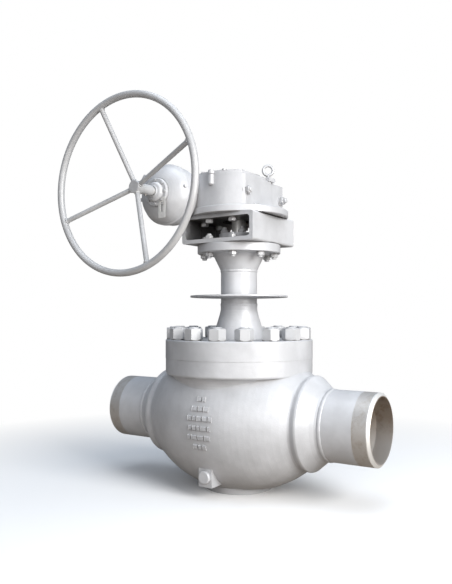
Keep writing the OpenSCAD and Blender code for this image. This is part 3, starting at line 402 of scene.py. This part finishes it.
def add_welds():
    """Beads at the pipe pups and at both ends of the extension tube."""
    pup_lo, pup_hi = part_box("outlet_pup")
    for side, name in ((-1, "inlet"), (1, "outlet")):
        bead = weld_bead(f"{name}_weld_bead", (side * pup_lo.x, 0, 0), pup_hi.y, *PUP_BEAD, ALONG_X)
        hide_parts("pup_welds")
    tube_lo, tube_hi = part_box("extension_tube")
    weld_bead("bonnet_weld_bead", (0, 0, tube_lo.z), tube_hi.x, *TUBE_BEAD)
    weld_bead("flange_weld_bead", (0, 0, tube_hi.z), tube_hi.x, *TUBE_BEAD)


def add_spoke_welds():
    """Beads where each spoke meets the rim and the hub."""
    rim_lo, rim_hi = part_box("handwheel_rim")
    hub_lo, hub_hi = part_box("handwheel_hub")
    axis = (rim_lo + rim_hi) / 2
    tube_r = (rim_hi.y - rim_lo.y) / 2
    rim_r = (rim_hi.x - rim_lo.x) / 2 - tube_r
    hub_r = (hub_hi.x - hub_lo.x) / 2
    root_y = hub_lo.y + SPOKE_SETBACK
    slope = (axis.y - root_y) / (rim_r - SPOKE_ROOT_R)
    for i in range(4):
        a = SPOKE_TURN + i * math.pi / 2
        outwards = Vector((math.cos(a), 0, math.sin(a)))
        along = (outwards + Vector((0, slope, 0))).normalized()
        at_rim = axis + outwards * rim_r - along * (tube_r + 0.0005)
        root = Vector((axis.x, root_y, axis.z)) + outwards * SPOKE_ROOT_R
        at_hub = root + along * (hub_r - SPOKE_ROOT_R + 0.001)
        turn = along.to_track_quat("Z", "Y").to_matrix().to_4x4()
        for name, at in (("rim", at_rim), ("hub", at_hub)):
            weld_bead(f"spoke_{i + 1}_{name}_weld", at, SPOKE_R, *SPOKE_BEAD, turn, look="wheel_paint",
                      body=HANDWHEEL, coarse=0.004, steps=96)


def surface_point(name, start, towards):
    """Where a ray from start first meets a CAD node, and the surface's direction there."""
    hit, where, normal, _ = frame["nodes"][name].ray_cast(Vector(start), Vector(towards).normalized())
    if not hit:
        raise RuntimeError(f"no surface of {name} in front of {start}")
    return where, normal


def add_mark(verts, faces, x, z, bar, steps=4):
    """A raised bar that follows the body's surface, from x to x + bar."""
    first = len(verts)
    for i in range(steps + 1):
        at_x = x + bar * i / steps
        lift_top = MARK_PROUD * (0.86 if i in (0, steps) else 1.0)
        for height, lift in ((-1.2, -MARK_SINK), (-0.8, lift_top), (0.8, lift_top), (1.2, -MARK_SINK)):
            start = (at_x, -1.0, z + MARK_HALF_HEIGHT * height)
            where, normal = surface_point("valve_body", start, (0, 1, 0))
            verts.append(where + normal * lift)
    for i in range(steps):
        row = first + 4 * i
        for k in range(3):
            faces.append((row + k, row + k + 4, row + k + 5, row + k + 1))
        faces.append((row + 3, row + 7, row + 4, row))
    last = first + 4 * steps
    faces.append((first + 3, first + 2, first + 1, first))
    faces.append((last, last + 1, last + 2, last + 3))


def add_cast_marks():
    """Plain raised bars in rows on the front of the body, where a foundry puts its cast marks."""
    verts, faces = [], []
    for row, width in enumerate(MARK_WIDTHS):
        z = MARK_TOP_Z - row * MARK_PITCH
        x = MARK_X - width / 2
        end = MARK_X + width / 2
        while x < end - MARK_LEFT_OVER:
            bar = min(random.uniform(MARK_SHORTEST, MARK_LONGEST), end - x)
            add_mark(verts, faces, x, z, bar)
            x += bar + MARK_GAP
    marks = mesh_object("cast_marks", verts, faces, LOOKS["cast_paint"], VALVE, smooth=False)
    soften = marks.modifiers.new("soften", "BEVEL")
    soften.width = 0.0012
    soften.segments = 2


def turned(name, profile, places, look, body, steps=48):
    """The same turned shape at each place; the profile is (r, z) from its foot to its top."""
    verts, faces = [], []
    for place in places:
        first = len(verts)
        for i in range(steps):
            a = 2 * math.pi * i / steps
            verts += [place @ Vector((r * math.cos(a), r * math.sin(a), z)) for r, z in profile]
        rows = len(profile)
        for i in range(steps):
            j = (i + 1) % steps
            for k in range(rows - 1):
                q, t = first + i * rows + k, first + j * rows + k
                faces.append((q, t, t + 1, q + 1))
        faces.append(tuple(first + i * rows for i in range(steps - 1, -1, -1)))
        faces.append(tuple(first + i * rows + rows - 1 for i in range(steps)))
    return mesh_object(name, verts, faces, LOOKS[look], body)


def add_pad_plugs():
    """Two small plugs on the flat side of the gear case."""
    places = []
    for y, z in PAD_PLUGS:
        where, normal = surface_point("gearbox_housing", (1.0, y, z), (-1, 0, 0))
        places.append(Matrix.Translation(where) @ normal.to_track_quat("Z", "Y").to_matrix().to_4x4())
    turned("gearbox_plugs", PLUG_OUTLINE, places, "fastener_paint", VALVE)


def thread_profile(radius, low, high, pitch):
    """Outline of a screw thread's crests and roots between two heights."""
    turns = max(1, int((high - low) / pitch))
    step = (high - low) / turns
    crest = radius + THREAD_PROUD
    root = radius - THREAD_DEPTH
    out = []
    for i in range(turns):
        z = low + i * step
        out += [(root, z), (crest, z + step * 0.35), (crest, z + step * 0.55)]
    return out + [(root, high)]


def add_stud_threads(name, studs, low, high, pitch):
    """Thread crests on each stud of a ring, between two heights."""
    count, circle, turn, radius = studs
    places = []
    for i in range(count):
        a = turn + 2 * math.pi * i / count
        places.append(Matrix.Translation((circle * math.cos(a), circle * math.sin(a), 0)))
    turned(name, thread_profile(radius, low, high, pitch), places, "fastener_paint", VALVE)


def add_threads():
    """Thread crests on the free ends of the bonnet studs and of the yoke studs."""
    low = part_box("bonnet_nuts")[1].z
    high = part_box("bonnet_studs")[1].z - STUD_CHAMFER * BONNET_STUDS[3]
    add_stud_threads("bonnet_stud_threads", BONNET_STUDS, low, high, BONNET_THREAD_PITCH)
    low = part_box("yoke_studs")[0].z + STUD_CHAMFER * YOKE_STUDS[3]
    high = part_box("yoke_nuts")[0].z
    add_stud_threads("yoke_stud_threads", YOKE_STUDS, low, high, YOKE_THREAD_PITCH)


# ---- stage ----

def camera():
    """The one camera, set as the constants at the top say."""
    data = bpy.data.cameras.new("camera")
    cam = bpy.data.objects.new("camera", data)
    bpy.context.scene.collection.objects.link(cam)
    az, pitch = math.radians(CAMERA_AZIMUTH), math.radians(CAMERA_PITCH)
    ahead = Vector((-math.sin(az) * math.cos(pitch), math.cos(az) * math.cos(pitch), math.sin(pitch)))
    cam.location = CAMERA_AT
    cam.rotation_mode = "QUATERNION"
    cam.rotation_quaternion = ahead.to_track_quat("-Z", "Y")
    data.sensor_fit = "AUTO"
    data.sensor_width = 36.0
    data.lens = CAMERA_LENS
    data.clip_end = 200.0
    data.dof.use_dof = False
    bpy.context.scene.camera = cam


def area_light(name, at, size, power, colour):
    """A rectangular light that faces the middle of the object."""
    data = bpy.data.lights.new(name, "AREA")
    data.shape = "RECTANGLE"
    data.size, data.size_y = size
    data.energy = power
    data.color = colour
    lamp = bpy.data.objects.new(name, data)
    bpy.context.scene.collection.objects.link(lamp)
    lamp.location = at
    lamp.rotation_mode = "QUATERNION"
    lamp.rotation_quaternion = (Vector(LIGHTS_AIM) - Vector(at)).to_track_quat("-Z", "Y")


def lights():
    """The key light from the right, and softer ones from the front and the top."""
    for light in LIGHTS:
        area_light(*light)


def world():
    """A pale studio: white to look at, and softly graded for light and reflections."""
    w = bpy.data.worlds.new("studio")
    bpy.context.scene.world = w
    w.use_nodes = True
    tree = w.node_tree
    tree.nodes.clear()
    direction = node(tree, "ShaderNodeTexCoord").outputs["Generated"]
    up = node(tree, "ShaderNodeSeparateXYZ", {"Vector": direction}).outputs["Z"]
    graded = mix_colour(tree, remap(tree, up, 0.0, 0.6), WORLD_LOW, WORLD_HIGH)
    soft = node(tree, "ShaderNodeBackground", {"Color": graded, "Strength": WORLD_STRENGTH})
    white = node(tree, "ShaderNodeBackground", {"Color": WHITE, "Strength": 1.0})
    seen = node(tree, "ShaderNodeLightPath").outputs["Is Camera Ray"]
    both = node(tree, "ShaderNodeMixShader", {0: seen, 1: soft.outputs[0], 2: white.outputs[0]})
    node(tree, "ShaderNodeOutputWorld", {"Surface": both.outputs[0]})


def floor():
    """A plain pale floor that takes a soft shadow, and fades to white away from the object."""
    mat, tree = shader("pale_floor")
    where = node(tree, "ShaderNodeTexCoord").outputs["Object"]
    tone = mix_colour(tree, noise_value(tree, where, 0.7, 2.0), *FLOOR_TONES)
    near = node(tree, "ShaderNodeBsdfDiffuse", {"Color": tone})
    far = node(tree, "ShaderNodeEmission", {"Color": WHITE})
    away = node(tree, "ShaderNodeVectorMath", {0: where}, operation="LENGTH").outputs["Value"]
    fade = remap(tree, away, FADE_START, FADE_END)
    seen = node(tree, "ShaderNodeMixShader", {0: fade, 1: near.outputs[0], 2: far.outputs[0]})
    # what lights the object from below is a darker, warmer ground
    bounce = node(tree, "ShaderNodeBsdfDiffuse", {"Color": FLOOR_BOUNCE})
    camera_ray = node(tree, "ShaderNodeLightPath").outputs["Is Camera Ray"]
    both = node(tree, "ShaderNodeMixShader", {0: camera_ray, 1: bounce.outputs[0], 2: seen.outputs[0]})
    node(tree, "ShaderNodeOutputMaterial", {"Surface": both.outputs[0]})
    mesh = bpy.data.meshes.new("floor")
    angles = [2 * math.pi * i / FLOOR_SIDES for i in range(FLOOR_SIDES)]
    rim = [(FLOOR_R * math.cos(a), FLOOR_R * math.sin(a), FLOOR_Z) for a in angles]
    mesh.from_pydata(rim, [], [tuple(range(FLOOR_SIDES))])
    mesh.materials.append(mat)
    obj = bpy.data.objects.new("floor", mesh)
    bpy.context.scene.collection.objects.link(obj)


def view_settings():
    """Plain colour, with no film curve."""
    scene = bpy.context.scene
    scene.view_settings.view_transform = "Standard"
    scene.view_settings.exposure = 0.0


dress_frame()
add_welds()
add_spoke_welds()
add_cast_marks()
add_pad_plugs()
add_threads()
camera()
lights()
world()
floor()
view_settings()
